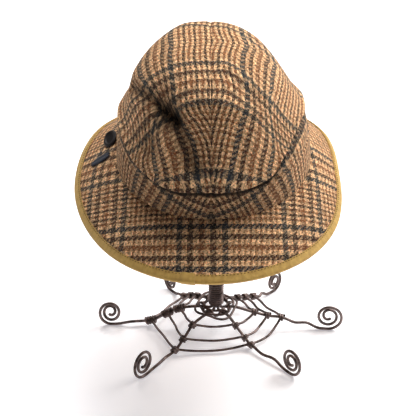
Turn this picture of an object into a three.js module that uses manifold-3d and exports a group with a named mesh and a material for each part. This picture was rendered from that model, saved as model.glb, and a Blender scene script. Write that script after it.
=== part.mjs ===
// Deerstalker hat in checked wool on a wire hat stand, in millimetres, +Z up, front towards -Y.
// The hat is a crown of two cloth halves, a hat band, a round drooping brim, a binding on the
// brim's edge, a button and a worked buttonhole. The stand is six scrolled wire legs, three web
// rings that are wrapped round the legs, a small inner ring, and a post with a wire coil on it.
import * as THREE from "three";
import { mergeVertices } from "three/addons/utils/BufferGeometryUtils.js";
import Module from "manifold-3d";

const wasm = await Module();
wasm.setup();

// Place of the hat over the foot of the post, and its forward tilt.
const HAT_X = -2.5;
const HAT_Y = 0;
const HAT_Z = 207.5;
const HAT_TILT_DEG = 5;

// Cloth sizes.
const SEAM_X = -3; // the crown's centre seam lies in this plane of the hat
const SEAM_GAP = 0.3;
const CROWN_WALL = 2.4;
const BAND_WALL = 2.4;
const BRIM_THICK = 2.8;
const CLOTH_GAP = 0.35;
const BAND_TOP = 27.6;
const BRIM_TURN_IN = 0.05; // share of the brim's width that runs in under the band
const BRIM_CURVE = 1.12; // power of the brim's fall: a little flatter next to the band
const BINDING_COVER = 6.2;
const BINDING_WALL = 0.8;
const AROUND = 56; // facets round the brim, the binding and the band

// Loops of the crown from its lower edge to its ridge, in the hat's own frame:
// height, front y, back y, half width left of the seam, half width right of it, squareness.
const CROWN_LOOPS = [
  [28.0, -99.5, 101, 86.5, 91, 2.1],
  [34.0, -101.0, 100.5, 87, 91, 2.1],
  [42.0, -96.0, 99, 84.5, 89, 2.1],
  [50.0, -90.0, 96, 79, 82, 2.1],
  [66.0, -79.5, 92, 73, 71.5, 2.1],
  [81.0, -68.5, 84, 67, 62, 2.1],
  [94.0, -54.0, 75, 56, 51.5, 2.1],
  [103.0, -37.0, 63, 44, 39.5, 2.1],
  [109.0, -15.0, 48, 31, 25.5, 2.1],
  [112.0, 2.0, 32, 0, 0, 2.0],
];
// The band's two loops, with the same columns.
const BAND_LOOPS = [
  [0.0, -99.0, 101, 88, 93, 2.1],
  [BAND_TOP, -96.5, 99.5, 85, 89.5, 2.1],
];
// Rows of the crown's facets, as places in CROWN_LOOPS.
const CROWN_ROWS = [0, 0.5, 1, 1.6, 2.4, 3.2, 4, 4.7, 5.4, 6.1, 6.8, 7.5, 8.2, 9];
const CROWN_STEPS = 18; // facets of one half, front to back

// Dents (depth over 0) and swellings (depth under 0) of the crown:
// centre x, y, z, then the spread along x, y and z, then the depth.
const DENTS = [
  [-47, -52, 82, 14, 22, 14, 9.5], // the main hollow, left of the front
  [-58, -66, 52, 12, 18, 16, 4.5], // its fold, running down to the left
  [-5, -78, 62, 11, 20, 20, 4.0], // soft valley along the seam, in front
  [-6, -46, 95, 24, 16, 9, -2.0], // full front edge of the top
  [-76, 4, 74, 12, 22, 12, -3.0], // left shoulder
  [-26, 44, 104, 16, 18, 10, -3.0], // highest part of the top, left of the seam
  [34, -66, 66, 14, 18, 16, -2.0], // full right front
];

// The brim, by the angle round the hat from the right side: angle, reach outwards, fall.
const BRIM_SWEEP = [
  [0, 28, 30],
  [30, 33, 26],
  [60, 35, 33],
  [90, 35, 35],
  [120, 35, 33],
  [150, 37, 24],
  [180, 38.8, 29],
  [215, 41, 32.5],
  [240, 47, 29],
  [270, 50.5, 27],
  [300, 45.5, 29],
  [325, 37.5, 33],
];
const BRIM_ROWS = [-BRIM_TURN_IN, 0.12, 0.45, 0.83, 1];

// The button and the buttonhole on the brim's left side.
const BUTTON_AT = { share: 0.22, angle: 165 };
const BUTTON_RADIUS = 8;
const BUTTONHOLE = { from: 0.14, to: 0.56, angle: 180, width: 4.6, slit: 1.0, rise: 1.0 };

// Wire sizes of the stand.
const LEG_WIRE = 1.35;
const WEB_WIRE = 1.1;
const FOOT_HIGH = 0.95; // height of the wire's middle at the foot, where its underside is worn flat
const WIRE_GAP = 0.3;
const WRAP_LENGTH = 6;
const WRAP_RADIUS = 3.5;
const BUNDLE_RADIUS = 3.12; // the legs' upper ends stand in a circle inside the coil
const BUNDLE_TOP = 50;
const COIL_FOOT = 28.8;
const COIL_RADIUS = 6.7;
const COIL_BORE = 5.0;
const COIL_TOP = 300;
const POST_RADIUS = 4.3;
const POST_PIN_RADIUS = 1.3;
const CAP_TOP = 315.8;
const CAP_RADIUS = 22;
const CAP_CURVE = 60;
const INNER_RING = { radius: 17, z: 28.2 };

// Legs: name, angle, angle at the post, reach of the scroll's middle, then radius and height of the three
// ring crossings, then the scroll's radius, its width over its height, and its lean sideways.
const LEGS = [
  ["right", 357, 0, 114, 66, 14, 52, 16, 39, 19.5, 12.4, 0.98, 0.25],
  ["back_right", 43, 60, 84, 53, 10, 41, 15.5, 30, 20.5, 12.2, 0.8, 0.0],
  ["back_left", 129, 120, 76, 52, 7, 41, 14.5, 30, 20.5, 12.2, 0.8, 0.0],
  ["left", 179, 180, 107, 66, 7, 49, 16.5, 37, 22.5, 13.2, 0.84, -0.25],
  ["front_left", 228, 240, 105, 61, 6, 49, 12.5, 35, 22, 13.4, 0.78, 0.0],
  ["front_right", 314, 300, 104, 50, 5.5, 41, 9.5, 28, 17.5, 13.0, 0.78, 0.0],
];
const SCROLL_TURNS = 2.1;
const SCROLL_STEPS = 23;
// Sag of the strands between legs, outwards and down, ring by ring from the outside in.
const RING_SAG = [
  [2.0, 2.5],
  [1.0, 2.0],
  [0.5, 1.5],
];

const rad = (deg) => (deg * Math.PI) / 180;

// A smooth value between the rows of a table whose first column is evenly or unevenly spaced.
function tableValue(rows, at, column, period = 0) {
  const n = rows.length;
  const row = (i) => {
    if (!period) {
      const j = Math.min(n - 1, Math.max(0, i));
      return [rows[j][0] + (i - j) * 1e-6, rows[j][column]];
    }
    const j = ((i % n) + n) % n;
    return [rows[j][0] + Math.floor(i / n) * period, rows[j][column]];
  };
  let x = at;
  if (period) x = ((at % period) + period) % period;
  let i = 0;
  while (i < (period ? n - 1 : n - 2) && row(i + 1)[0] <= x) i += 1;
  const [x0, y0] = row(i - 1);
  const [x1, y1] = row(i);
  const [x2, y2] = row(i + 1);
  const [x3, y3] = row(i + 2);
  const t = (x - x1) / (x2 - x1);
  let m1 = ((y2 - y0) / (x2 - x0)) * (x2 - x1);
  let m2 = ((y3 - y1) / (x3 - x1)) * (x2 - x1);
  if (!period && i === 0) m1 = y2 - y1;
  if (!period && i === n - 2) m2 = y2 - y1;
  const a = 2 * t ** 3 - 3 * t ** 2 + 1;
  const b = t ** 3 - 2 * t ** 2 + t;
  const c = -2 * t ** 3 + 3 * t ** 2;
  const d = t ** 3 - t ** 2;
  return a * y1 + b * m1 + c * y2 + d * m2;
}

// The same between whole rows, where the place is the row number.
function rowValue(rows, place, column) {
  const table = rows.map((r, i) => [i, r[column]]);
  return tableValue(table, place, 1);
}

// A point of a loop at an angle (degrees, 0 at the right, 90 at the back).
function loopPoint(loop, deg) {
  const [z, front, back, left, right, square] = loop;
  const c = Math.cos(rad(deg));
  const s = Math.sin(rad(deg));
  const px = Math.sign(c) * Math.abs(c) ** (2 / square);
  const py = Math.sign(s) * Math.abs(s) ** (2 / square);
  return new THREE.Vector3(
    SEAM_X + px * (c > 0 ? right : left),
    (front + back) / 2 + (py * (back - front)) / 2,
    z,
  );
}

function crownPoint(place, deg) {
  const loop = [0, 1, 2, 3, 4, 5].map((c) => rowValue(CROWN_LOOPS, place, c));
  return loopPoint(loop, deg);
}

// A surface's outward normal from two small steps.
function normalOf(surface, u, v, du, dv) {
  const a = surface(u + du, v).sub(surface(u - du, v));
  const b = surface(u, v + dv).sub(surface(u, v - dv));
  return a.cross(b).normalize();
}

// The crown with its dents and swellings.
function crownOuter(place, deg) {
  const low = Math.min(8.97, Math.max(0.02, place));
  const p = crownPoint(place, deg);
  const n = normalOf((u, v) => crownPoint(v, u), deg, low, 0.5, 0.02);
  let depth = 0;
  for (const [x, y, z, sx, sy, sz, d] of DENTS) {
    const r = ((p.x - x) / sx) ** 2 + ((p.y - y) / sy) ** 2 + ((p.z - z) / sz) ** 2;
    depth += d * Math.exp(-r);
  }
  return p.addScaledVector(n, -depth);
}

function crownInner(place, deg, side) {
  const low = Math.min(8.9, Math.max(0.05, place));
  const mid = side > 0 ? Math.min(89, Math.max(-89, deg)) : Math.min(269, Math.max(91, deg));
  const n = normalOf((u, v) => crownOuter(v, u), mid, low, 0.8, 0.05);
  if (place === 0) n.z = 0;
  n.normalize();
  return crownOuter(place, deg).addScaledVector(n, -CROWN_WALL);
}

function brimPoint(share, deg) {
  const base = loopPoint(BAND_LOOPS[0], deg);
  const ahead = loopPoint(BAND_LOOPS[0], deg + 0.2);
  const behind = loopPoint(BAND_LOOPS[0], deg - 0.2);
  const out = new THREE.Vector3(ahead.y - behind.y, behind.x - ahead.x, 0).normalize();
  const reach = tableValue(BRIM_SWEEP, deg, 1, 360);
  const fall = tableValue(BRIM_SWEEP, deg, 2, 360);
  base.addScaledVector(out, reach * share);
  base.z -= fall * Math.max(0, share) ** BRIM_CURVE;
  return base;
}

function brimNormal(share, deg) {
  const s = Math.min(0.99, Math.max(0.06, share));
  const n = normalOf((u, v) => brimPoint(v, u), deg, s, 0.5, 0.01);
  return n.z > 0 ? n : n.negate();
}

// The brim's cloth at a share of its width and a depth under its upper face.
function brimAt(share, deg, depth) {
  return brimPoint(share, deg).addScaledVector(brimNormal(share, deg), -depth);
}

// A closed body from a list of rings of points, joined ring to ring and back to the first.
function ringBody(rings) {
  const n = rings.length;
  const m = rings[0].length;
  const positions = [];
  const index = [];
  for (const ring of rings) for (const p of ring) positions.push(p.x, p.y, p.z);
  for (let i = 0; i < n; i += 1) {
    for (let j = 0; j < m; j += 1) {
      const a = i * m + j;
      const b = i * m + ((j + 1) % m);
      const c = ((i + 1) % n) * m + ((j + 1) % m);
      const d = ((i + 1) % n) * m + j;
      index.push(a, b, c, a, c, d);
    }
  }
  return bodyFrom(positions, index);
}

function bodyFrom(positions, index) {
  const g = new THREE.BufferGeometry();
  g.setAttribute("position", new THREE.Float32BufferAttribute(positions, 3));
  g.setIndex(index);
  return outward(mergeVertices(g, 1e-4));
}

// Turns the faces over if the body is inside out.
function outward(g) {
  const p = g.attributes.position;
  const idx = Array.from(g.index.array);
  let volume = 0;
  const a = new THREE.Vector3();
  const b = new THREE.Vector3();
  const c = new THREE.Vector3();
  for (let i = 0; i < idx.length; i += 3) {
    a.fromBufferAttribute(p, idx[i]);
    b.fromBufferAttribute(p, idx[i + 1]);
    c.fromBufferAttribute(p, idx[i + 2]);
    volume += a.dot(b.cross(c));
  }
  if (volume < 0) {
    for (let i = 0; i < idx.length; i += 3) {
      const t = idx[i];
      idx[i] = idx[i + 1];
      idx[i + 1] = t;
    }
    g.setIndex(idx);
  }
  return g;
}

// One half of the crown: an outer and an inner skin joined along the lower edge and the seam.
function crownHalf(side) {
  const rows = CROWN_ROWS.length;
  const cols = CROWN_STEPS + 1;
  const skin = (inner) => {
    const grid = [];
    for (const place of CROWN_ROWS) {
      for (let j = 0; j < cols; j += 1) {
        const turn = -90 + (180 * j) / CROWN_STEPS;
        const deg = side > 0 ? turn : 180 - turn;
        const p = inner ? crownInner(place, deg, side) : crownOuter(place, deg);
        const edge = SEAM_X + (side * SEAM_GAP) / 2;
        if (j === 0 || j === cols - 1 || place === 9) p.x = edge;
        if (side * (p.x - edge) < 0) p.x = edge;
        grid.push(p);
      }
    }
    return grid;
  };
  const points = [...skin(false), ...skin(true)];
  const shift = rows * cols;
  const index = [];
  const at = (i, j, s) => s * shift + i * cols + j;
  for (let i = 0; i < rows - 1; i += 1) {
    for (let j = 0; j < cols - 1; j += 1) {
      const a = at(i, j, 0);
      const b = at(i, j + 1, 0);
      const c = at(i + 1, j + 1, 0);
      const d = at(i + 1, j, 0);
      index.push(a, b, c, a, c, d);
      index.push(a + shift, c + shift, b + shift, a + shift, d + shift, c + shift);
    }
  }
  const rim = [];
  for (let j = 0; j < cols; j += 1) rim.push(at(0, j, 0));
  for (let i = 1; i < rows; i += 1) rim.push(at(i, cols - 1, 0));
  for (let j = cols - 2; j >= 0; j -= 1) rim.push(at(rows - 1, j, 0));
  for (let i = rows - 2; i > 0; i -= 1) rim.push(at(i, 0, 0));
  for (let k = 0; k < rim.length; k += 1) {
    const a = rim[k];
    const b = rim[(k + 1) % rim.length];
    index.push(b, a, a + shift, b, a + shift, b + shift);
  }
  return bodyFrom(points.flatMap((p) => [p.x, p.y, p.z]), index);
}

function hatBand() {
  const rings = [];
  for (let i = 0; i < AROUND; i += 1) {
    const deg = (360 * i) / AROUND;
    const low = loopPoint(BAND_LOOPS[0], deg);
    const high = loopPoint(BAND_LOOPS[1], deg);
    const next = loopPoint(BAND_LOOPS[0], deg + 0.5);
    const last = loopPoint(BAND_LOOPS[0], deg - 0.5);
    const out = new THREE.Vector3(next.y - last.y, last.x - next.x, 0).normalize();
    low.z = CLOTH_GAP;
    const lowIn = low.clone().addScaledVector(out, -BAND_WALL);
    const highIn = high.clone().addScaledVector(out, -BAND_WALL);
    rings.push([low, high, highIn, lowIn]);
  }
  return ringBody(rings);
}

function brimBody() {
  const rings = [];
  for (let i = 0; i < AROUND; i += 1) {
    const deg = (360 * i) / AROUND;
    const upper = BRIM_ROWS.map((s) => brimAt(s, deg, 0));
    const lower = BRIM_ROWS.map((s) => brimAt(s, deg, BRIM_THICK)).reverse();
    // the turned-in margin lies flat under the band
    upper[0] = brimPoint(-BRIM_TURN_IN, deg);
    rings.push([...upper, ...lower]);
  }
  return ringBody(rings);
}

// The binding: a folded tape whose cut is a U lying on its side, open towards the hat.
function bindingBody() {
  const g = CLOTH_GAP;
  const w = BINDING_WALL;
  const t = BRIM_THICK;
  const cut = [
    [-BINDING_COVER, g],
    [-BINDING_COVER, g + w],
    [0.4, g + w],
    [g + w, 0.2],
    [g + w, -t - 0.2],
    [0.4, -t - g - w],
    [-BINDING_COVER, -t - g - w],
    [-BINDING_COVER, -t - g],
    [g, -t - g],
    [g, g],
  ];
  const rings = [];
  for (let i = 0; i < AROUND; i += 1) {
    const deg = (360 * i) / AROUND;
    const edge = brimPoint(1, deg);
    const inside = brimPoint(0.83, deg);
    const out = edge.clone().sub(inside).normalize();
    const ahead = brimPoint(1, deg + 0.5).sub(brimPoint(1, deg - 0.5)).normalize();
    const up = out.clone().cross(ahead).normalize();
    if (up.z < 0) up.negate();
    rings.push(cut.map(([s, n]) => edge.clone().addScaledVector(out, s).addScaledVector(up, n)));
  }
  return ringBody(rings);
}

// Lathe body round +Z, moved so that its axis is the given normal at the given point.
function turned(profile, sides, at, axis) {
  const g = new THREE.LatheGeometry(
    profile.map(([r, z]) => new THREE.Vector2(r, z)),
    sides,
  );
  g.rotateX(Math.PI / 2);
  const q = new THREE.Quaternion().setFromUnitVectors(new THREE.Vector3(0, 0, 1), axis);
  g.applyQuaternion(q);
  g.translate(at.x, at.y, at.z);
  g.deleteAttribute("normal");
  g.deleteAttribute("uv");
  return outward(cleaned(mergeVertices(g, 1e-4)));
}

// Drops triangles that have lost a corner to the merge.
function cleaned(g) {
  const idx = Array.from(g.index.array);
  const kept = [];
  for (let i = 0; i < idx.length; i += 3) {
    const [a, b, c] = idx.slice(i, i + 3);
    if (a !== b && b !== c && a !== c) kept.push(a, b, c);
  }
  g.setIndex(kept);
  return g;
}

function buttonBody() {
  const { share, angle } = BUTTON_AT;
  const axis = brimNormal(share, angle);
  const at = brimAt(share, angle, 0).addScaledVector(axis, 0.25);
  const r = BUTTON_RADIUS;
  const profile = [
    [0, 0],
    [r * 0.45, 0],
    [r * 0.9, 0.8],
    [r, 1.8],
    [r * 0.94, 2.9],
    [r * 0.76, 3.2],
    [r * 0.68, 2.5],
    [0, 2.3],
  ];
  return turned(profile, 12, at, axis);
}

// The worked buttonhole: a long ring of thread round a slit, lying on the brim.
function buttonholeBody() {
  const { from, to, angle, width, slit, rise } = BUTTONHOLE;
  const count = 16;
  const rings = [];
  for (let i = 0; i < count; i += 1) {
    const a = (2 * Math.PI * i) / count;
    const along = Math.cos(a);
    const across = Math.sin(a);
    const place = (half, ends) => {
      const mid = (from + to) / 2;
      const reach = (to - from) / 2 - ends;
      const stretch = Math.sign(along) * Math.abs(along) ** 0.75;
      const deg = angle + ((half * Math.sign(across) * Math.abs(across) ** 0.6) / 100) * 57.3;
      return [mid + reach * stretch, deg];
    };
    const [so, dego] = place(width / 2, 0);
    const [si, degi] = place(slit / 2, 0.05);
    const lift = (s, d, h) => brimPoint(s, d).addScaledVector(brimNormal(s, d), h);
    rings.push([
      lift(so, dego, 0.45),
      lift(so, dego, 0.45 + rise * 0.5),
      lift((so + si) / 2, (dego + degi) / 2, 0.45 + rise),
      lift(si, degi, 0.45 + rise * 0.5),
      lift(si, degi, 0.45),
    ]);
  }
  return ringBody(rings);
}

// A round wire along points, with flat ends, or closed on itself.
function wire(points, radius, sides, closed = false) {
  const n = points.length;
  const tangent = (i) => {
    const a = closed ? points[(i - 1 + n) % n] : points[Math.max(0, i - 1)];
    const b = closed ? points[(i + 1) % n] : points[Math.min(n - 1, i + 1)];
    return b.clone().sub(a).normalize();
  };
  let t = tangent(0);
  let side = new THREE.Vector3(0, 0, 1).cross(t);
  if (side.length() < 0.1) side = new THREE.Vector3(1, 0, 0).cross(t);
  side.normalize();
  const rings = [];
  for (let i = 0; i < n; i += 1) {
    const next = tangent(i);
    if (closed) {
      side = new THREE.Vector3(0, 0, 1).cross(next).normalize();
    } else {
      const turn = new THREE.Quaternion().setFromUnitVectors(t, next);
      side.applyQuaternion(turn).normalize();
    }
    t = next;
    const up = t.clone().cross(side).normalize();
    const ring = [];
    for (let k = 0; k < sides; k += 1) {
      const a = (2 * Math.PI * k) / sides;
      ring.push(
        points[i]
          .clone()
          .addScaledVector(side, radius * Math.cos(a))
          .addScaledVector(up, radius * Math.sin(a)),
      );
    }
    rings.push(ring);
  }
  if (closed) return ringBody(rings);
  const positions = rings.flat().flatMap((p) => [p.x, p.y, p.z]);
  const index = [];
  for (let i = 0; i < n - 1; i += 1) {
    for (let k = 0; k < sides; k += 1) {
      const a = i * sides + k;
      const b = i * sides + ((k + 1) % sides);
      index.push(a, b, b + sides, a, b + sides, a + sides);
    }
  }
  for (let k = 1; k < sides - 1; k += 1) {
    index.push(0, k + 1, k);
    const e = (n - 1) * sides;
    index.push(e, e + k, e + k + 1);
  }
  return bodyFrom(positions, index);
}

const polar = (r, deg, z) => new THREE.Vector3(r * Math.cos(rad(deg)), r * Math.sin(rad(deg)), z);

// Places of a leg where the rings cross it, with the leg's direction there.
function legCrossings(leg) {
  const [, angle, , foot, r1, z1, r2, z2, r3, z3] = leg;
  const at = [
    polar(foot - 8, angle, LEG_WIRE + 0.6),
    polar(r1, angle, z1),
    polar(r2, angle, z2),
    polar(r3, angle, z3),
    polar(19, angle, 25.6),
  ];
  return [1, 2, 3].map((i) => ({
    at: at[i],
    along: at[i - 1].clone().sub(at[i + 1]).normalize(),
  }));
}

// A leg: scroll, foot, rise through the web, then the turn up into the coil.
function legPath(leg) {
  const [, angle, postAngle, foot, , , , , , , scroll, wide, lean] = leg;
  const centre = foot;
  const points = [];
  const total = SCROLL_TURNS * 2 * Math.PI;
  const sideways = new THREE.Vector3(-Math.sin(rad(angle)), Math.cos(rad(angle)), 0);
  for (let i = SCROLL_STEPS; i >= 0; i -= 1) {
    const f = (i / SCROLL_STEPS) ** 1.12;
    const a = total * f;
    const rho = scroll * (1 - 0.74 * f);
    const high = scroll + FOOT_HIGH - rho * Math.cos(a);
    const p = polar(centre + wide * rho * Math.sin(a), angle, high);
    p.addScaledVector(sideways, lean * high * (i / SCROLL_STEPS));
    points.push(p);
  }
  points.push(polar(foot - 4, angle, FOOT_HIGH));
  points.push(polar(foot - 11, angle, LEG_WIRE + 0.9));
  const half = WRAP_LENGTH / 2 + 0.3;
  for (const { at, along } of legCrossings(leg)) {
    points.push(at.clone().addScaledVector(along, half));
    points.push(at.clone().addScaledVector(along, -half));
  }
  const turn = ((postAngle - angle + 540) % 360) - 180;
  const mix = (k) => angle + turn * k;
  points.push(polar(17, mix(0.35), 25.6));
  points.push(polar(9.5, mix(0.8), 25.0));
  points.push(polar(6.2, mix(1), 24.8));
  points.push(polar(4.0, mix(1), 26.2));
  points.push(polar(3.2, mix(1), 29.6));
  points.push(polar(BUNDLE_RADIUS, mix(1), 33));
  points.push(polar(BUNDLE_RADIUS, mix(1), BUNDLE_TOP));
  return points;
}

function legBody(leg) {
  const g = wire(legPath(leg), LEG_WIRE, 6);
  const p = g.attributes.position;
  for (let i = 0; i < p.count; i += 1) if (p.getZ(i) < 0) p.setZ(i, 0);
  return g;
}

function toManifold(g) {
  const clean = mergeVertices(g, 1e-4);
  return new wasm.Manifold(
    new wasm.Mesh({
      numProp: 3,
      vertProperties: new Float32Array(clean.attributes.position.array),
      triVerts: new Uint32Array(clean.index.array),
    }),
  );
}

function fromManifold(m) {
  const mesh = m.getMesh();
  const g = new THREE.BufferGeometry();
  const xyz = [];
  for (let i = 0; i < mesh.vertProperties.length; i += mesh.numProp) {
    xyz.push(mesh.vertProperties[i], mesh.vertProperties[i + 1], mesh.vertProperties[i + 2]);
  }
  g.setAttribute("position", new THREE.Float32BufferAttribute(xyz, 3));
  g.setIndex(Array.from(mesh.triVerts));
  return g;
}

// One web ring: six wrapped collars joined by six sagging strands.
function webRing(level) {
  const [sagOut, sagDown] = RING_SAG[level];
  const nodes = LEGS.map((leg) => legCrossings(leg)[level]);
  const parts = [];
  const bore = (LEG_WIRE + WIRE_GAP) / Math.cos(Math.PI / 7);
  const half = WRAP_LENGTH / 2;
  const profile = [
    [bore, -half],
    [WRAP_RADIUS - 0.8, -half],
    [WRAP_RADIUS, 0],
    [WRAP_RADIUS - 0.8, half],
    [bore, half],
    [bore, -half],
  ];
  for (const { at, along } of nodes) parts.push(toManifold(turned(profile, 7, at, along)));
  for (let i = 0; i < nodes.length; i += 1) {
    const a = nodes[i].at;
    const b = nodes[(i + 1) % nodes.length].at;
    const flat = b.clone().sub(a);
    const inset = 3.0;
    const from = a.clone().addScaledVector(flat.clone().normalize(), inset);
    const to = b.clone().addScaledVector(flat.clone().normalize(), -inset);
    const points = [];
    for (let k = 0; k <= 3; k += 1) {
      const f = k / 3;
      const p = from.clone().lerp(to, f);
      const bow = 4 * f * (1 - f);
      const out = new THREE.Vector3(p.x, p.y, 0).normalize();
      p.addScaledVector(out, sagOut * bow);
      p.z = Math.max(WEB_WIRE + 0.8, p.z - sagDown * bow);
      points.push(p);
    }
    parts.push(toManifold(wire(points, WEB_WIRE, 5)));
  }
  return fromManifold(wasm.Manifold.union(parts));
}

function innerRing() {
  const points = [];
  for (let i = 0; i < 24; i += 1) {
    points.push(polar(INNER_RING.radius, (360 * i) / 24, INNER_RING.z));
  }
  return wire(points, WEB_WIRE, 5, true);
}

// The coil on the post: a sleeve whose outside swells turn by turn where it shows.
function postCoil() {
  const turns = 16;
  const pitch = 6;
  const profile = [[COIL_BORE, COIL_FOOT]];
  for (let i = 0; i < turns; i += 1) {
    profile.push([COIL_RADIUS - 0.9, COIL_FOOT + i * pitch]);
    profile.push([COIL_RADIUS, COIL_FOOT + (i + 0.5) * pitch]);
  }
  profile.push([COIL_RADIUS - 0.9, COIL_FOOT + turns * pitch]);
  profile.push([COIL_RADIUS - 0.9, COIL_TOP]);
  profile.push([COIL_BORE, COIL_TOP]);
  profile.push([COIL_BORE, COIL_FOOT]);
  return turned(profile, 10, new THREE.Vector3(), new THREE.Vector3(0, 0, 1));
}

// The hidden core of the post with the round head that carries the crown.
function postCore() {
  const drop = (r) => CAP_CURVE - Math.sqrt(CAP_CURVE ** 2 - r ** 2);
  const shoulder = BUNDLE_TOP + 1.5;
  const profile = [
    [0, 24.6],
    [POST_PIN_RADIUS, 24.6],
    [POST_PIN_RADIUS, shoulder],
    [POST_RADIUS, shoulder],
    [POST_RADIUS, CAP_TOP - 9],
    [CAP_RADIUS - 1, CAP_TOP - drop(CAP_RADIUS) - 2.4],
    [CAP_RADIUS, CAP_TOP - drop(CAP_RADIUS) - 1],
    [CAP_RADIUS - 0.6, CAP_TOP - drop(CAP_RADIUS - 0.6)],
    [CAP_RADIUS * 0.6, CAP_TOP - drop(CAP_RADIUS * 0.6)],
    [0, CAP_TOP],
  ];
  return turned(profile, 14, new THREE.Vector3(), new THREE.Vector3(0, 0, 1));
}

const part = new THREE.Group();
part.name = "hat_on_stand";

function add(name, geometry, colour, roughness, metalness, hat = false) {
  if (hat) {
    geometry.rotateX(rad(HAT_TILT_DEG));
    geometry.translate(HAT_X, HAT_Y, HAT_Z);
  }
  geometry.computeVertexNormals();
  const material = new THREE.MeshStandardMaterial({ color: colour, roughness, metalness });
  const mesh = new THREE.Mesh(geometry, material);
  mesh.name = name;
  part.add(mesh);
}

const WOOL = 0xa47a50;
const TAPE = 0xc79f4c;
const WIRE = 0x4a3a33;
add("crown_left", crownHalf(-1), WOOL, 0.95, 0, true);
add("crown_right", crownHalf(1), WOOL, 0.95, 0, true);
add("hat_band", hatBand(), 0x97704a, 0.95, 0, true);
add("brim", brimBody(), 0xa67c52, 0.95, 0, true);
add("brim_binding", bindingBody(), TAPE, 0.8, 0, true);
add("side_button", buttonBody(), 0x1a1614, 0.4, 0, true);
add("buttonhole", buttonholeBody(), 0x2c3440, 0.8, 0, true);
for (const leg of LEGS) add(`leg_${leg[0]}`, legBody(leg), WIRE, 0.45, 0.8);
add("web_ring_outer", webRing(0), WIRE, 0.45, 0.8);
add("web_ring_middle", webRing(1), WIRE, 0.45, 0.8);
add("web_ring_upper", webRing(2), WIRE, 0.45, 0.8);
add("web_ring_inner", innerRing(), WIRE, 0.45, 0.8);
add("post_coil", postCoil(), WIRE, 0.45, 0.8);
add("post", postCore(), WIRE, 0.5, 0.8);

// The part's frame: the middle of its box in x and y, and its lowest point in z.
const box = new THREE.Box3().setFromObject(part);
const middle = box.getCenter(new THREE.Vector3());
for (const mesh of part.children) mesh.geometry.translate(-middle.x, -middle.y, -box.min.z);

export default part;
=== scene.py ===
import math

import bmesh
import bpy
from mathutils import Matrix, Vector


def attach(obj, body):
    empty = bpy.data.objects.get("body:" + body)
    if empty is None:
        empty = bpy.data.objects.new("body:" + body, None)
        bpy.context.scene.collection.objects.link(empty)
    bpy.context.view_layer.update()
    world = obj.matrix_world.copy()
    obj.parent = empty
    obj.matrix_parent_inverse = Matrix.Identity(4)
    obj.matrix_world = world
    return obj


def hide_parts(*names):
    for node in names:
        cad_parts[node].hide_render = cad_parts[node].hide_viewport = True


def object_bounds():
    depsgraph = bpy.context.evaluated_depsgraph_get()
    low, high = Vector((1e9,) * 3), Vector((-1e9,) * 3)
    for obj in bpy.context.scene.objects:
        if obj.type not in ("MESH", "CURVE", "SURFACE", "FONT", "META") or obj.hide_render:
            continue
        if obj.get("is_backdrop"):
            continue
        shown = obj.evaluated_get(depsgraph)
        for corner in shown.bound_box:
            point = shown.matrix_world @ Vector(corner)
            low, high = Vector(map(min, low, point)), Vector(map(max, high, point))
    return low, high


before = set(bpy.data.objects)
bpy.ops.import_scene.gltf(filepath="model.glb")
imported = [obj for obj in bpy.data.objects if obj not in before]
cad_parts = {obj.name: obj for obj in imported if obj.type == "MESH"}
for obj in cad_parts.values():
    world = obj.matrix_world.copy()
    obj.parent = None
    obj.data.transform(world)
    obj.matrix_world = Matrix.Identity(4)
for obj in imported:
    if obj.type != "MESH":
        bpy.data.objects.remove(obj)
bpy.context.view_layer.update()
scene = bpy.context.scene

# Camera and studio
# The camera looks down at the hat's front from 34 degrees and 1.25 m away. The floor is a plain
# white sheet that runs on as the backdrop, and four soft boxes light it.
CAMERA_RISE = math.radians(34)
CAMERA_AWAY = 1.25
LENS = 113.04
SENSOR = 36
LOOK_AT = Vector((-0.00446, 0.00401, 0.145))
camera_data = bpy.data.cameras.new("camera")
camera_data.sensor_width = SENSOR
camera_data.lens = LENS
camera_data.clip_end = 30
camera = bpy.data.objects.new("camera", camera_data)
scene.collection.objects.link(camera)
camera.location = LOOK_AT + CAMERA_AWAY * Vector((0, -math.cos(CAMERA_RISE), math.sin(CAMERA_RISE)))
camera.rotation_mode = "QUATERNION"
camera.rotation_quaternion = (LOOK_AT - camera.location).to_track_quat("-Z", "Y")
scene.camera = camera
scene.view_settings.view_transform = "Standard"
scene.view_settings.look = "None"


def new_material(name, roughness=0.8, metallic=0.0):
    """A material, its node tree and its shader."""
    material = bpy.data.materials.new(name)
    material.use_nodes = True
    shader = material.node_tree.nodes["Principled BSDF"]
    shader.inputs["Roughness"].default_value = roughness
    shader.inputs["Metallic"].default_value = metallic
    return material, material.node_tree, shader


def finished(bm, name, material, smooth=True, sharp=None):
    """The mesh as an object, with its edges over the sharp angle left sharp."""
    mesh = bpy.data.meshes.new(name)
    bm.to_mesh(mesh)
    bm.free()
    obj = bpy.data.objects.new(name, mesh)
    scene.collection.objects.link(obj)
    mesh.materials.append(material)
    if smooth:
        mesh.shade_smooth()
    if sharp:
        mesh.set_sharp_from_angle(angle=math.radians(sharp))
    return obj


FLOOR_HALF = 12
floor_white, _, floor_shader = new_material("floor_white", 0.9)
floor_shader.inputs["Base Color"].default_value = (0.93, 0.925, 0.935, 1)
floor_shader.inputs["Specular IOR Level"].default_value = 0.1
floor_shader.inputs["Emission Color"].default_value = (0.96, 0.945, 1.0, 1)
floor_shader.inputs["Emission Strength"].default_value = 0.38
bm = bmesh.new()
bmesh.ops.create_grid(bm, x_segments=2, y_segments=2, size=FLOOR_HALF)
floor = finished(bm, "floor", floor_white, smooth=False)
floor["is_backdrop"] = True

world = bpy.data.worlds.new("studio")
scene.world = world
world.use_nodes = True
world.node_tree.nodes["Background"].inputs["Color"].default_value = (0.97, 0.97, 1.0, 1)
world.node_tree.nodes["Background"].inputs["Strength"].default_value = 0.10

LIGHTS_AIM = Vector((0, 0, 0.2))
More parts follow.
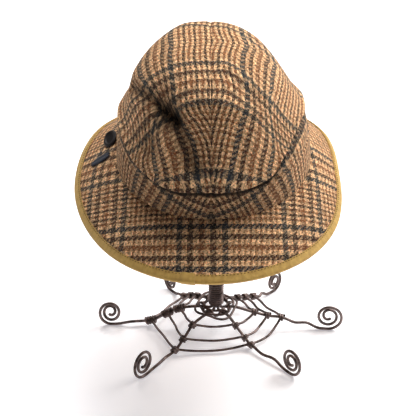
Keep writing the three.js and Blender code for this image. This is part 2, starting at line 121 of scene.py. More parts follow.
# name, place, size, power, colour
SOFT_BOXES = [
    ("key_right_back", (1.15, 0.75, 1.35), 1.15, 45, (1.0, 0.985, 0.96)),
    ("top", (0.1, 0.5, 1.9), 0.9, 14, (1.0, 0.99, 0.98)),
    ("left_top", (-0.5, 1.2, 1.85), 0.8, 24, (1.0, 0.99, 0.98)),
    ("front_fill", (0.7, -1.9, 0.9), 1.4, 1.0, (0.98, 0.98, 1.0)),
]
for name, place, size, watts, colour in SOFT_BOXES:
    light_data = bpy.data.lights.new(name, "AREA")
    light_data.size = size
    light_data.energy = watts
    light_data.color = colour
    light = bpy.data.objects.new(name, light_data)
    scene.collection.objects.link(light)
    light.location = place
    light.rotation_mode = "QUATERNION"
    light.rotation_quaternion = (LIGHTS_AIM - Vector(place)).to_track_quat("-Z", "Y")

# Crown
# Two halves of woollen cloth in a glen check, sewn together along a seam from the front over the
# top to the back. The cloth is soft, and has slumped into a hollow left of the front. Its sizes
# are in millimetres in the hat's own frame.
HAT_AT = Vector((1.136, 4.01, 207.5))  # place of the hat's middle, over the post
HAT_TILT = math.radians(5)
SEAM_X = -3.0
CROWN_WALL = 2.2
# height, front y, back y, half width left of the seam, half width right of it, squareness
CROWN_LOOPS = [
    (28.0, -99.5, 101.0, 86.5, 91.0, 2.1),
    (34.0, -101.0, 100.5, 87.0, 91.0, 2.1),
    (42.0, -96.0, 99.0, 84.5, 89.0, 2.1),
    (50.0, -90.0, 96.0, 79.0, 82.0, 2.1),
    (66.0, -79.5, 92.0, 73.0, 71.5, 2.1),
    (81.0, -68.5, 84.0, 67.0, 62.0, 2.1),
    (94.0, -54.0, 75.0, 56.0, 51.5, 2.1),
    (103.0, -37.0, 63.0, 44.0, 39.5, 2.1),
    (109.0, -15.0, 48.0, 31.0, 25.5, 2.1),
    (112.0, 2.0, 32.0, 0.0, 0.0, 2.0),
]
LAST_LOOP = len(CROWN_LOOPS) - 1
CROWN_ROWS = [(i, *loop) for i, loop in enumerate(CROWN_LOOPS)]
CROWN_BACK = [(loop[0], loop[2]) for loop in CROWN_LOOPS]
# hollows (depth over 0) and swellings: centre x, y, z, spread along x, y, z, depth, painted shade in it
# (share of the colour darkened)
DENTS = [
    (-46, -54, 80, 13, 18, 16, 11.5, 0.56),
    (-58, -66, 52, 12, 18, 16, 4.5, 0.34),
    (-14, -78, 62, 13, 20, 22, 4.0, 0.10),
    (-6, -46, 95, 24, 16, 9, -2.0, 0),
    (-76, 4, 74, 12, 22, 12, -3.0, 0),
    (-26, 44, 104, 16, 18, 10, -3.0, 0),
    (34, -66, 66, 14, 18, 16, -2.0, 0),
]
# folds pressed into the cloth (depth over 0) and rounded edges that stand up: the points that a
# fold runs through, its width, its depth
FOLDS = [
    ([(-75, 8, 68), (-65, -23, 81), (-56, -36, 84), (-49, -47, 83), (-42, -55, 81), (-37, -60, 80)],
     7.0, 6.5),
    ([(-36, -61, 80), (-32, -68, 74), (-28, -75, 67), (-23, -82, 58), (-18, -89, 49)], 8.5, 5.5),
    ([(-50, -56, 74), (-44, -67, 64), (-41, -80, 51)], 8.0, -2.5),
    ([(-26, -56, 88), (-4, -53, 93), (9, -56, 90), (22, -55, 86), (36, -52, 79)], 7.0, -2.2),
    ([(10, -19, 108), (16, -23, 105), (28, -30, 100), (41, -36, 88), (49, -38, 80)], 5.0, -1.4),
]
SEAM_GROOVE = 1.1
SEAM_GROOVE_WIDE = 2.2
# painted shade: each millimetre of a fold's depth darkens the cloth's colour by FOLD_LOST, down to
# LEAST_LIGHT
FOLD_LOST = 0.095  # light lost for each millimetre of a fold's depth
LEAST_LIGHT = 0.22


def table_value(rows, at, column, period=0.0):
    """A smooth value between the rows of a table whose first column is the place."""
    n = len(rows)

    def row(i):
        if not period:
            j = min(n - 1, max(0, i))
            return rows[j][0] + (i - j) * 1e-6, rows[j][column]
        j = i % n
        return rows[j][0] + (i // n) * period, rows[j][column]

    x = at % period if period else at
    last = n - 1 if period else n - 2
    i = 0
    while i < last and row(i + 1)[0] <= x:
        i += 1
    (x0, y0), (x1, y1), (x2, y2), (x3, y3) = row(i - 1), row(i), row(i + 1), row(i + 2)
    t = (x - x1) / (x2 - x1)
    m1 = (y2 - y0) / (x2 - x0) * (x2 - x1)
    m2 = (y3 - y1) / (x3 - x1) * (x2 - x1)
    if not period and i == 0:
        m1 = y2 - y1
    if not period and i == n - 2:
        m2 = y2 - y1
    a = 2 * t**3 - 3 * t**2 + 1
    b = t**3 - 2 * t**2 + t
    return a * y1 + b * m1 + (1 - a) * y2 + (t**3 - t**2) * m2


def power(x, e):
    return math.copysign(abs(x) ** e, x)


def held(t):
    """A value kept between 0 and 1."""
    return max(0.0, min(1.0, t))


def eased(t):
    """From 0 to 1 with a soft start and a soft end."""
    t = held(t)
    return t * t * (3 - 2 * t)


def turn_from(deg, middle):
    """The angle between two directions, up to 180."""
    return abs((deg - middle + 180) % 360 - 180)


def loop_point(loop, deg):
    """A point of a loop round the head, by its angle from the right side."""
    z, front, back, left, right, square = loop
    c = math.cos(math.radians(deg))
    s = math.sin(math.radians(deg))
    wide = right if c > 0 else left
    return Vector((
        SEAM_X + power(c, 2 / square) * wide,
        (front + back) / 2 + power(s, 2 / square) * (back - front) / 2,
        z,
    ))


def crown_point(place, deg):
    """A point of the smooth crown: a place of 0 is its lowest loop and LAST_LOOP is its top."""
    return loop_point([table_value(CROWN_ROWS, place, c) for c in range(1, 7)], deg)


def place_of_height(z):
    heights = [loop[0] for loop in CROWN_LOOPS]
    for i in range(LAST_LOOP):
        if z <= heights[i + 1]:
            return i + max(0, z - heights[i]) / (heights[i + 1] - heights[i])
    return LAST_LOOP


def dent_share(p, dent):
    """1 in the middle of a dent and less away from it."""
    x, y, z, along_x, along_y, along_z = dent[:6]
    return math.exp(-((p.x - x) / along_x) ** 2 - ((p.y - y) / along_y) ** 2 - ((p.z - z) / along_z) ** 2)


def off_line(p, line):
    """The square of the distance from a point to a line through some points."""
    nearest = math.inf
    for a, b in zip(map(Vector, line), map(Vector, line[1:])):
        t = max(0, min(1, (p - a).dot(b - a) / (b - a).length_squared))
        nearest = min(nearest, (p - a.lerp(b, t)).length_squared)
    return nearest


def dented(p, n):
    """A point of the smooth crown, pressed in along the cloth's normal."""
    depth = 0
    for dent in DENTS:
        depth += dent[6] * dent_share(p, dent)
    for line, width, deep in FOLDS:
        depth += deep * math.exp(-off_line(p, line) / width**2)
    # the seam allowance pulls a narrow groove along the seam
    depth += SEAM_GROOVE * math.exp(-(((p.x - SEAM_X) / SEAM_GROOVE_WIDE) ** 2))
    return p - n * depth


def fold_light(p):
    """Painted shade in the folds: how much light would reach the cloth at the bottom of its folds, kept as
    a share of its colour, from 1 down.
    """
    lost = 0
    for dent in DENTS:
        lost += dent[7] * dent_share(p, dent)
    for line, width, deep in FOLDS:
        if deep > 0:
            lost += FOLD_LOST * deep * math.exp(-off_line(p, line) / (width * 1.15) ** 2)
    return max(LEAST_LIGHT, 1 - lost)


def hat_to_row(p):
    """From the hat's frame in millimetres to the row frame in metres."""
    c, s = math.cos(HAT_TILT), math.sin(HAT_TILT)
    q = Vector((p.x, p.y * c - p.z * s, p.y * s + p.z * c)) + HAT_AT
    return q / 1000


# The glen check: one repeat, as the first thread of each stripe and its yarn.
NAVY = (0.016, 0.023, 0.032, 1)
BROWN = (0.042, 0.016, 0.011, 1)
RUST = (0.200, 0.072, 0.028, 1)
CAMEL = (0.765, 0.480, 0.255, 1)
SOFT_RUST = (0.380, 0.190, 0.085, 1)
PALE_FIBRE = (0.88, 0.70, 0.47, 1)
DARK_FIBRE = (0.045, 0.024, 0.018, 1)
RED_WOOL = (0.92, 0.66, 0.45, 1)
CHECK_REPEAT = 76
FINE_FROM = 39
CHECK = [(0, NAVY), (4, CAMEL), (8, BROWN), (12, CAMEL), (16, RUST), (20, CAMEL), (24, BROWN),
         (28, CAMEL), (32, NAVY), (36, CAMEL)]
for k in range(9):
    CHECK.append((FINE_FROM + 4 * k, BROWN if k % 2 else RUST))
    CHECK.append((FINE_FROM + 2 + 4 * k, CAMEL))
# millimetres from thread to thread
THREAD_ACROSS = 1.19
THREAD_ALONG = 1.236
CROWN_THREAD_ALONG = 1.33
# how far the weave sways and the yarns fray, in threads
SWAY = 1.8
FRAY = 1.3
DARK_COVER = 0.50  # how much of a paler yarn its dark neighbour covers
FACE_SHARE = 0.07  # how much more of one set of threads shows than of the other


def link(tree, a, b):
    tree.links.new(a, b)


def fed(tree, socket, value):
    """A socket set to a plain value, or linked to a node's output."""
    if isinstance(value, (int, float, tuple)):
        socket.default_value = value
    else:
        link(tree, value, socket)


def math_node(tree, kind, *values):
    node = tree.nodes.new("ShaderNodeMath")
    node.operation = kind
    for socket, value in zip(node.inputs, values):
        fed(tree, socket, value)
    return node.outputs[0]


def noise_node(tree, vector, scale, detail=2.0, roughness=0.5):
    node = tree.nodes.new("ShaderNodeTexNoise")
    node.inputs["Scale"].default_value = scale
    node.inputs["Detail"].default_value = detail
    node.inputs["Roughness"].default_value = roughness
    link(tree, vector, node.inputs["Vector"])
    return node


def range_node(tree, value, low, high, to_low, to_high):
    node = tree.nodes.new("ShaderNodeMapRange")
    for socket, end in zip(node.inputs, (value, low, high, to_low, to_high)):
        fed(tree, socket, end)
    return node.outputs[0]


def mixed(tree, share, a, b, blend="MIX"):
    node = tree.nodes.new("ShaderNodeMix")
    node.data_type = "RGBA"
    node.blend_type = blend
    for socket, value in (("Factor", share), ("A", a), ("B", b)):
        fed(tree, node.inputs[socket], value)
    return node.outputs["Result"]


def bumped(tree, shader, height, strength, distance):
    """Fine relief on a piece, from a height."""
    bump = tree.nodes.new("ShaderNodeBump")
    bump.inputs["Strength"].default_value = strength
    bump.inputs["Distance"].default_value = distance
    link(tree, height, bump.inputs["Height"])
    link(tree, bump.outputs[0], shader.inputs["Normal"])


def on_map(tree, name):
    """A UV map of the piece, and its first and second coordinate."""
    uv = tree.nodes.new("ShaderNodeUVMap")
    uv.uv_map = name
    return (uv.outputs[0], *coordinates_of(tree, uv.outputs[0]))


def coordinates_of(tree, vector):
    parts = tree.nodes.new("ShaderNodeSeparateXYZ")
    link(tree, vector, parts.inputs[0])
    return parts.outputs[0], parts.outputs[1]


def carried(tree, vector, by, amount):
    """The coordinates moved about by a noise."""
    node = tree.nodes.new("ShaderNodeVectorMath")
    node.operation = "MULTIPLY_ADD"
    link(tree, by, node.inputs[0])
    node.inputs[1].default_value = (amount, amount, 0)
    link(tree, vector, node.inputs[2])
    return node.outputs[0]


def yarn_ramp(tree, thread, soft):
    """The yarn's colour for a thread number. The soft set has paler yarns in the fine part."""
    place = math_node(tree, "FLOORED_MODULO", math_node(tree, "ADD", thread, 0.5), CHECK_REPEAT)
    ramp = tree.nodes.new("ShaderNodeValToRGB")
    ramp.color_ramp.interpolation = "CONSTANT"
    link(tree, math_node(tree, "DIVIDE", place, CHECK_REPEAT), ramp.inputs[0])
    stops = ramp.color_ramp.elements
    stops[0].position = 0
    stops[0].color = CHECK[0][1]
    stops.remove(stops[1])
    for first, yarn in CHECK[1:]:
        stop = stops.new(first / CHECK_REPEAT)
        stop.color = yarn
        if soft and first >= FINE_FROM and yarn != CAMEL:
            stop.color = RUST if yarn == BROWN else SOFT_RUST
    return ramp.outputs[0]


def woven(tree, iu, iv, facing):
    """A two-and-two twill: the yarn that lies on top at each crossing of two threads."""
    warp = yarn_ramp(tree, iu, facing == "weft")
    weft = yarn_ramp(tree, iv, facing == "warp")
    diagonal = math_node(tree, "FLOORED_MODULO", math_node(tree, "ADD", iu, iv), 4)
    cloth = mixed(tree, math_node(tree, "LESS_THAN", diagonal, 1.5), weft, warp)
    # the dark yarns are the thicker ones and cover part of their neighbours
    cloth = mixed(tree, DARK_COVER, cloth, mixed(tree, 1.0, weft, warp, "DARKEN"))
    return mixed(tree, FACE_SHARE, cloth, warp if facing == "warp" else weft)


def float_height(tree, place):
    """How far a yarn stands up over the width of one thread."""
    off = math_node(tree, "SUBTRACT", math_node(tree, "FRACT", place), 0.5)
    square = math_node(tree, "MULTIPLY", off, off)
    return math_node(tree, "SUBTRACT", 1, math_node(tree, "MULTIPLY", 4, square))


def tweed(name, shade=1.0, facing="warp"):
    """Woollen twill in a glen check on the piece's own UV map, one unit to a thread."""
    material, tree, shader = new_material(name, 0.92)
    threads = on_map(tree, "threads")[0]
    # painted shade: the folds map holds the share of the colour kept in folds and in the shadow under the
    # crown's edge
    painted_fold_light = on_map(tree, "folds")[1]
    # the cloth is not woven quite square, and the yarns are hairy
    place = carried(tree, threads, noise_node(tree, threads, 0.09, 3).outputs["Color"], SWAY)
    place = carried(tree, place, noise_node(tree, threads, 1.3, 5, 0.65).outputs["Color"], FRAY)
    u, v = coordinates_of(tree, place)
    iu, iv = math_node(tree, "FLOOR", u), math_node(tree, "FLOOR", v)
    cloth = woven(tree, iu, iv, facing)
    # each float of yarn has its own shade, and so has each short length of it
    cell = tree.nodes.new("ShaderNodeCombineXYZ")
    link(tree, iu, cell.inputs[0])
    link(tree, iv, cell.inputs[1])
    own = tree.nodes.new("ShaderNodeTexWhiteNoise")
    link(tree, cell.outputs[0], own.inputs["Vector"])
    heather = noise_node(tree, threads, 0.62, 4, 0.7).outputs[0]
    # shade darkens the whole piece: painted shade for a piece that lies in shadow
    light = math_node(tree, "MULTIPLY", range_node(tree, heather, 0.38, 0.62, 0.55 * shade, 1.50 * shade),
                      range_node(tree, own.outputs["Value"], 0, 1, 0.50, 1.55))
    tone = tree.nodes.new("ShaderNodeVectorMath")
    tone.operation = "SCALE"
    link(tree, cloth, tone.inputs[0])
    link(tree, math_node(tree, "MULTIPLY", light, painted_fold_light), tone.inputs["Scale"])
    # camel yarn spun of a redder wool, and pale and dark loose fibres
    hue = noise_node(tree, threads, 0.45, 2).outputs[0]
    colour = mixed(tree, range_node(tree, hue, 0.5, 0.62, 0, 0.5), tone.outputs[0], RED_WOOL, "MULTIPLY")
    loose = noise_node(tree, threads, 1.1, 3, 0.7).outputs[0]
    # the painted shade also dims the pale fibres in folds
    pale = math_node(tree, "MULTIPLY", range_node(tree, loose, 0.55, 0.65, 0, 0.50), painted_fold_light)
    colour = mixed(tree, pale, colour, PALE_FIBRE)
    colour = mixed(tree, range_node(tree, loose, 0.44, 0.36, 0, 0.60), colour, DARK_FIBRE)
    link(tree, colour, shader.inputs["Base Color"])
    # each float of yarn stands up between its neighbours
    height = math_node(tree, "ADD", math_node(tree, "MULTIPLY", float_height(tree, u), 0.5),
                       math_node(tree, "MULTIPLY", float_height(tree, v), 0.5))
    height = math_node(tree, "ADD", height, math_node(tree, "MULTIPLY", heather, 1.4))
    bumped(tree, shader, height, 0.9, 0.0006)
    shader.inputs["Sheen Weight"].default_value = 0.08
    shader.inputs["Sheen Roughness"].default_value = 0.5
    shader.inputs["Sheen Tint"].default_value = (0.95, 0.85, 0.7, 1)
    shader.inputs["Specular IOR Level"].default_value = 0.12
    return material


# How the cloth lies on the crown: y, how far the first and the second navy stripe run from the
# seam on the right, the same two on the left, and the second stripe's height.
CROWN_LIE = [
    (-94, 18, 50, 14, 47, 38),
    (-80, 22.5, 52, 17, 50, 42),
    (-70, 26, 55, 24, 54, 48),
    (-60, 30, 55, 33, 55, 60),
    (-49, 33, 53, 35, 52, 72),
    (-38, 33, 51, 35, 52, 80),
    (-25, 30, 54, 36, 56, 85),
    (-5, 30, 56, 38, 63, 85),
    (15, 34, 59, 37, 66, 84),
]
LIE_TURNS_BACK = 15  # behind this y the stripes run as they do in front of it
# y on the crown and the length of cloth from the row at y = -18 to it, positive to the front
CROWN_RUN = [
    (-101, 115.6), (-96, 106), (-90, 96.1), (-79.5, 77), (-68.5, 58.4), (-54, 38.9), (-37, 19.6), (-18, 0),
    (2, -20.2), (32, -50), (48, -66.3), (63, -82.4), (75, -97.4), (84, -113.2), (92, -130.2), (96, -146.7),
    (100.5, -163.3),
]
STRIPE_TO_STRIPE = 32  # threads from the first navy stripe to the second
SHOULDER_DRAG = 20
FRONT_ROW = 76.8  # the row that follows the crown's front edge
FRONT_ROW_HIGH = 46.5


def crown_run_row(y):
    return table_value(CROWN_RUN, y, 1) / CROWN_THREAD_ALONG + 2


def crown_threads(p, side):
    """Thread numbers of a point of a crown half: across from the seam, and along to the front."""
    c = abs(p.x - SEAM_X)
    y = p.y if p.y < LIE_TURNS_BACK else 2 * LIE_TURNS_BACK - p.y
    first = table_value(CROWN_LIE, y, 1 if side > 0 else 3)
    second = table_value(CROWN_LIE, y, 2 if side > 0 else 4)
    high = table_value(CROWN_LIE, y, 5)
    if c < first:
        u = (c - first) / THREAD_ACROSS
    elif c < second:
        u = STRIPE_TO_STRIPE * (c - first) / (second - first)
    else:
        u = STRIPE_TO_STRIPE + math.hypot(c - second, max(0.0, high - p.z)) / THREAD_ACROSS
    # the cloth is dragged forward over the right shoulder
    drag = SHOULDER_DRAG * eased((p.x - 6) / 40) * (1 - held((-40 - p.y) / 22)) if side > 0 else 0.0
    v = crown_run_row(p.y + drag)
    # on the front wall the rows under the last navy one follow it down to the edge
    last = FRONT_ROW_HIGH - 0.19 * abs(p.x + 2)
    if p.y < -85 and p.z < last:
        v += eased((-85 - p.y) / 7) * (FRONT_ROW + (last - p.z) / CROWN_THREAD_ALONG - v)
    # at the back they follow the height
    if p.y > 40:
        v += eased((p.y - 40) / 45) * (crown_run_row(table_value(CROWN_BACK, p.z, 1)) - v)
    return u + 2, v


def cloth_grid(across, along, place_of, threads_of, light_of=lambda p, a, b: 1.0):
    """A sheet of cloth from a flat grid whose points are carried to their places."""
    bm = bmesh.new()
    bmesh.ops.create_grid(bm, x_segments=across, y_segments=along, size=0.5)
    threads, folds = bm.loops.layers.uv.new("threads"), bm.loops.layers.uv.new("folds")
    lie, light = {}, {}
    for v in bm.verts:
        a, b = v.co.x + 0.5, v.co.y + 0.5
        p = place_of(a, b)
        lie[v] = threads_of(p, a, b)
        # painted shade: light_of gives the share of the colour kept, stored in the folds map
        light[v] = (light_of(p, a, b), 0)
        v.co = hat_to_row(p)
    for face in bm.faces:
        for loop in face.loops:
            loop[threads].uv = lie[loop.vert]
            loop[folds].uv = light[loop.vert]
    bmesh.ops.remove_doubles(bm, verts=bm.verts, dist=1e-6)
    bm.normal_update()
    # the right side of the cloth is the one that faces away from this point under the hat
    below = hat_to_row(Vector((0, 0, -60)))
    if sum((f.calc_center_median() - below).normalized().dot(f.normal) for f in bm.faces) < 0:
        bmesh.ops.reverse_faces(bm, faces=bm.faces)
    return bm


def walled(obj, thickness):
    """The cloth's thickness, on its inner side."""
    wall = obj.modifiers.new("wall", "SOLIDIFY")
    wall.thickness = thickness / 1000
    wall.offset = -1
    wall.use_even_offset = False


# the crown's lower edge: angle, height
CROWN_EDGE = [
    (0, 47), (15, 44), (30, 38), (50, 30), (90, 28), (130, 28), (155, 34), (180, 42), (205, 42), (223, 36),
    (238, 33), (250, 31), (264, 33), (285, 33), (298, 35), (306, 38), (312, 43), (321, 47), (330, 50),
    (347, 50),
]
EDGE_ROLL = 0.9
EDGE_ROLL_FRONT = 1.3


def edge_height(deg):
    return table_value(CROWN_EDGE, deg, 1, 360)


def overhang(deg):
    """1 where the crown hangs over the band in front, 0 at the sides and the back."""
    return held((48 - turn_from(deg, 275)) / 14)


def crown_spot(side, a, b):
    """Place and angle on a crown half: a runs from the front to the back, b from the edge to the top."""
    turn = -90 + 180 * a
    deg = turn if side > 0 else 180 - turn
    lowest = place_of_height(edge_height(deg))
    return lowest + (LAST_LOOP - lowest) * b, deg


def crown_place(side, a, b):
    """A point of a finished crown half, with its dents, folds and rolled edge."""
    place, deg = crown_spot(side, a, b)
    low = min(LAST_LOOP - 0.03, max(0.02, place))
    round_it = crown_point(low, deg + 0.5) - crown_point(low, deg - 0.5)
    up_it = crown_point(low + 0.02, deg) - crown_point(low - 0.02, deg)
    n = round_it.cross(up_it).normalized()
    p = dented(crown_point(place, deg), n)
    # the lower edge rolls out over the band, most of all in front
    p += n * (EDGE_ROLL + EDGE_ROLL_FRONT * overhang(deg)) * math.exp(-((b / 0.05) ** 2))
    if a < 0.001 or a > 0.999 or b > 0.999 or side * (p.x - SEAM_X) < 0:
        p.x = SEAM_X
    return p


tweed_crown = tweed("tweed_crown")
for side, name in ((-1, "crown_left"), (1, "crown_right")):
    bm = cloth_grid(
        110, 90,
        lambda a, b: crown_place(side, a, b),
        lambda p, a, b: crown_threads(crown_point(*crown_spot(side, a, b)), side),
        lambda p, a, b: fold_light(crown_point(*crown_spot(side, a, b))),
    )
    half = finished(bm, f"{name}_cloth", tweed_crown)
    walled(half, CROWN_WALL)
    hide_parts(name)
    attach(half, "root")

# Hat band
# A strip of the same cloth round the head, sewn to the crown along its upper edge and to the brim
# along its lower edge, with a seam at the centre front.
BAND_TOP = 27.6
BAND_LOOPS = [
    (0.0, -99.0, 101.0, 88.0, 93.0, 2.1),
    (BAND_TOP, -96.5, 99.5, 85.0, 89.5, 2.1),
]
BAND_WALL = 2.0
BAND_TUCK = 2.5  # how far the band goes up behind the crown's edge
BAND_INSET = 3.2
BAND_INSET_FRONT = 2.2
BAND_SEAM = 0.7
HALF_ROUND = 295  # cloth from the centre front to the centre back
BAND_SLANT = 0.4
# the strip is cut in two slanting halves: angle, height of the navy row over the brim
BAND_ROW = [
    (0, 44), (15, 41), (30, 35), (50, 27), (90, 25), (130, 25), (155, 31), (180, 39), (205, 39), (221, 34),
    (232, 31), (246, 21), (258, 12.5), (267.5, 6.9), (270, 5.0), (272.5, 6.9), (282, 12.5), (294, 22),
    (308, 36), (321, 44), (335, 47), (347, 47),
]


def band_height(deg):
    return edge_height(deg) + BAND_TUCK


def band_place(a, b):
    """A point of the band: a runs round the head from the front, b from the brim up."""
    deg = 360 * a - 90
    low, high = loop_point(BAND_LOOPS[0], deg), loop_point(BAND_LOOPS[1], deg)
    z = b * band_height(deg)
    p = low.lerp(high, min(1, z / BAND_TOP))
    if z > BAND_TOP:
        q = crown_point(place_of_height(z), deg)
        inward = Vector((SEAM_X - q.x, -q.y, -25)).normalized()
        inset = BAND_INSET + BAND_INSET_FRONT * overhang(deg)
        p = p.lerp(q + inward * inset, min(1, (z - BAND_TOP) / 3))
    out = Vector((p.x - SEAM_X, p.y, 0)).normalized()
    # a soft roll, and the stitched edges drawn in
    p += out * (0.5 * math.sin(math.pi * b) - 0.3)
    p -= out * BAND_SEAM * math.exp(-((turn_from(deg, -90) / 0.8) ** 2))
    p.z += 0.35 * (1 - b)
    return p


def band_threads(p, a, b):
    deg = 360 * a - 90
    z = b * band_height(deg)
    from_front = HALF_ROUND - 2 * HALF_ROUND * abs(a - 0.5)
    slant = BAND_SLANT * max(0.0, 1 - max(0.0, from_front - 55) / 60)
    u = (from_front * 0.95 + z * slant) / THREAD_ACROSS
    return u - 36, (z - table_value(BAND_ROW, deg, 1, 360)) * 0.93 / THREAD_ALONG + 2


def band_light(p, a, b):
    """Painted shade on the band: its top is darkened where the crown's edge shades it in front, and its
    front is darkened all over.
    """
    deg = 360 * a - 90
    below = (1 - b) * band_height(deg) - BAND_TUCK
    reach = 4.5 + 5.5 * overhang(deg)
    shade = (0.55 + 0.38 * overhang(deg)) * held((reach - below) / 2.2)
    front = math.exp(-((turn_from(deg, -95) / 60) ** 2))
    return (1 - shade) * (1 - 0.36 * front)


# painted shade: the band is the same cloth as the crown, made 8% darker for the shade it lies in
tweed_band = tweed("tweed_band", 0.92)
bm = cloth_grid(260, 40, band_place, band_threads, band_light)
band = finished(bm, "hat_band_cloth", tweed_band)
walled(band, BAND_WALL)
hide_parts("hat_band")
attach(band, "root")

# Brim
# A round brim of two layers of the same cloth over a soft stiffener, cut as a flat ring with a
# sector left out, so that it droops all round. It is widest in front.
# angle from the right side, reach outwards, fall
BRIM_SWEEP = [
    (0, 28, 30), (30, 33, 26), (60, 35, 33), (90, 35, 35), (120, 35, 33), (150, 37, 24),
    (180, 38.8, 29), (215, 41, 32.5), (240, 47, 29), (270, 50.5, 27), (300, 45.5, 29), (325, 37.5, 33),
]
BRIM_TURN_IN = 0.05
BRIM_CURVE = 1.12
BRIM_THICK = 2.8
RING_SHARE = 0.84  # the flat ring's share of a full turn
EASE = 9.3  # threads


def brim_point(share, deg):
    """A point of the brim's upper face: a share of 0 is at the band and 1 is the outer edge."""
    base = loop_point(BAND_LOOPS[0], deg)
    ahead, behind = loop_point(BAND_LOOPS[0], deg + 0.2), loop_point(BAND_LOOPS[0], deg - 0.2)
    out = Vector((ahead.y - behind.y, behind.x - ahead.x, 0)).normalized()
    base += out * table_value(BRIM_SWEEP, deg, 1, 360) * share
    base.z -= table_value(BRIM_SWEEP, deg, 2, 360) * max(0, share) ** BRIM_CURVE
    return base


def brim_normal(share, deg):
    s = min(0.99, max(0.06, share))
    n = (brim_point(s, deg + 0.5) - brim_point(s, deg - 0.5)).cross(
        brim_point(s + 0.01, deg) - brim_point(s - 0.01, deg)).normalized()
    return n if n.z > 0 else -n


def brim_place(a, b):
    """A point of the brim: a runs round it from the back, b from under the band outwards."""
    return brim_point((1 + BRIM_TURN_IN) * b - BRIM_TURN_IN, 360 * a + 90)


def brim_threads(p, a, b):
    flat_turn = math.radians(-90 + 360 * (a - 0.5) * RING_SHARE)
    base = loop_point(BAND_LOOPS[0], 360 * a + 90)
    reach = math.hypot(base.x - SEAM_X, base.y) * 1.12 + (p - base).length
    across, ahead = reach * math.cos(flat_turn), -reach * math.sin(flat_turn)
    # the cloth is eased back a little on both sides of the front
    ease = EASE * min(1.6, (across / 105) ** 2) * max(0.0, ahead / reach)
    return across / THREAD_ACROSS + 23, ahead / THREAD_ALONG - 18.4 + ease


tweed_brim = tweed("tweed_brim", 1.0, "weft")
bm = cloth_grid(300, 40, brim_place, brim_threads)
brim = finished(bm, "brim_cloth", tweed_brim)
walled(brim, BRIM_THICK)
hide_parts("brim")
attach(brim, "root")

# Binding
# Ribbed mustard tape folded over the brim's edge and sewn through with small stitches. Its two
# ends overlap a little left of the front.
TAPE_COVER = 6.2
TAPE_WALL = 0.8
TAPE_LONG = 830
TAPE_WIDE = 28
TAPE_RIB = 0.8
TAPE_FROM = 260.2
TAPE_TURN = 364.5
OVERLAP_FROM = 0.984  # share of the tape's length
FOLD_FLAT = 0.75
CLOTH_GAP = 0.35


def tape_cut():
    """The tape's section: how far out from the brim's edge, how high over its upper face."""
    gap, wall, under = CLOTH_GAP, TAPE_WALL, -BRIM_THICK - CLOTH_GAP
    cut = [(-TAPE_COVER, gap), (-TAPE_COVER, gap + wall * 0.9), (-4, gap + wall), (-2, gap + wall + 0.05),
           (0.0, gap + wall)]
    middle, half = -BRIM_THICK / 2, BRIM_THICK / 2 + gap + wall
    for k in range(1, 8):
        a = math.pi / 2 - math.pi * k / 8
        cut.append((half * math.cos(a) * FOLD_FLAT, middle + half * math.sin(a)))
    cut += [(0.0, under - wall), (-4, under - wall), (-TAPE_COVER, under - wall), (-TAPE_COVER, under),
            (0.0, under)]
    inner = half - wall
    for k in range(1, 4):
        a = -math.pi / 2 + math.pi * k / 4
        cut.append((inner * math.cos(a) * FOLD_FLAT, middle + inner * math.sin(a)))
    cut.append((0.0, gap))
    return cut


def tape_frame(deg):
    """The brim's edge at an angle, with the directions outwards and up from the cloth."""
    edge, inside = brim_point(1, deg), brim_point(0.83, deg)
    out = (edge - inside).normalized()
    ahead = (brim_point(1, deg + 0.5) - brim_point(1, deg - 0.5)).normalized()
    up = out.cross(ahead).normalized()
    return edge, out, (up if up.z > 0 else -up)


def two_tones(tree, value, dark, pale, low=0.0, high=1.0):
    """A colour between a dark and a pale one."""
    ramp = tree.nodes.new("ShaderNodeValToRGB")
    for stop, position, colour in zip(ramp.color_ramp.elements, (low, high), (dark, pale)):
        stop.position = position
        stop.color = colour
    link(tree, value, ramp.inputs[0])
    return ramp.outputs[0]


mustard_tape, tree, shader = new_material("mustard_tape", 0.75)
tape_map, tape_along, _ = on_map(tree, "threads")
patches = noise_node(tree, tape_map, 0.25, 5)
mustard = two_tones(tree, patches.outputs[0], (0.440, 0.256, 0.058, 1), (0.650, 0.410, 0.104, 1), 0.3, 0.7)
link(tree, mustard, shader.inputs["Base Color"])
ribs = math_node(tree, "SINE", math_node(tree, "MULTIPLY", tape_along, math.tau / TAPE_RIB))
bumped(tree, shader, ribs, 0.6, 0.0002)
shader.inputs["Sheen Weight"].default_value = 0.2
shader.inputs["Specular IOR Level"].default_value = 0.25

cut = tape_cut()
middle = -BRIM_THICK / 2
bm = bmesh.new()
bmesh.ops.create_grid(bm, x_segments=330, y_segments=len(cut), size=0.5)
layer = bm.loops.layers.uv.new("threads")
flat = {v: (v.co.x + 0.5, v.co.y + 0.5) for v in bm.verts}
for v in bm.verts:
    a, b = flat[v]
    out_by, up_by = cut[round(b * len(cut)) % len(cut)]
    # the last end lies over the first
    over = held((a - OVERLAP_FROM) / 0.004)
    up_by = middle + (up_by - middle) * (1 + 0.55 * over)
    out_by += over * (0.7 if out_by >= 0 else -0.5)
    edge, out, up = tape_frame(TAPE_FROM + TAPE_TURN * a)
    v.co = hat_to_row(edge + out * out_by + up * up_by)
for face in bm.faces:
    for loop in face.loops:
        loop[layer].uv = (flat[loop.vert][0] * TAPE_LONG, flat[loop.vert][1] * TAPE_WIDE)
bmesh.ops.remove_doubles(bm, verts=bm.verts, dist=1e-6)
bmesh.ops.holes_fill(bm, edges=[e for e in bm.edges if e.is_boundary])
bmesh.ops.recalc_face_normals(bm, faces=bm.faces)
binding = finished(bm, "binding_tape", mustard_tape, sharp=50)
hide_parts("brim_binding")
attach(binding, "root")

STITCHES = 290
END_STITCHES = 4
END_ANGLE = 264.4
THREAD_RADIUS = 0.00038
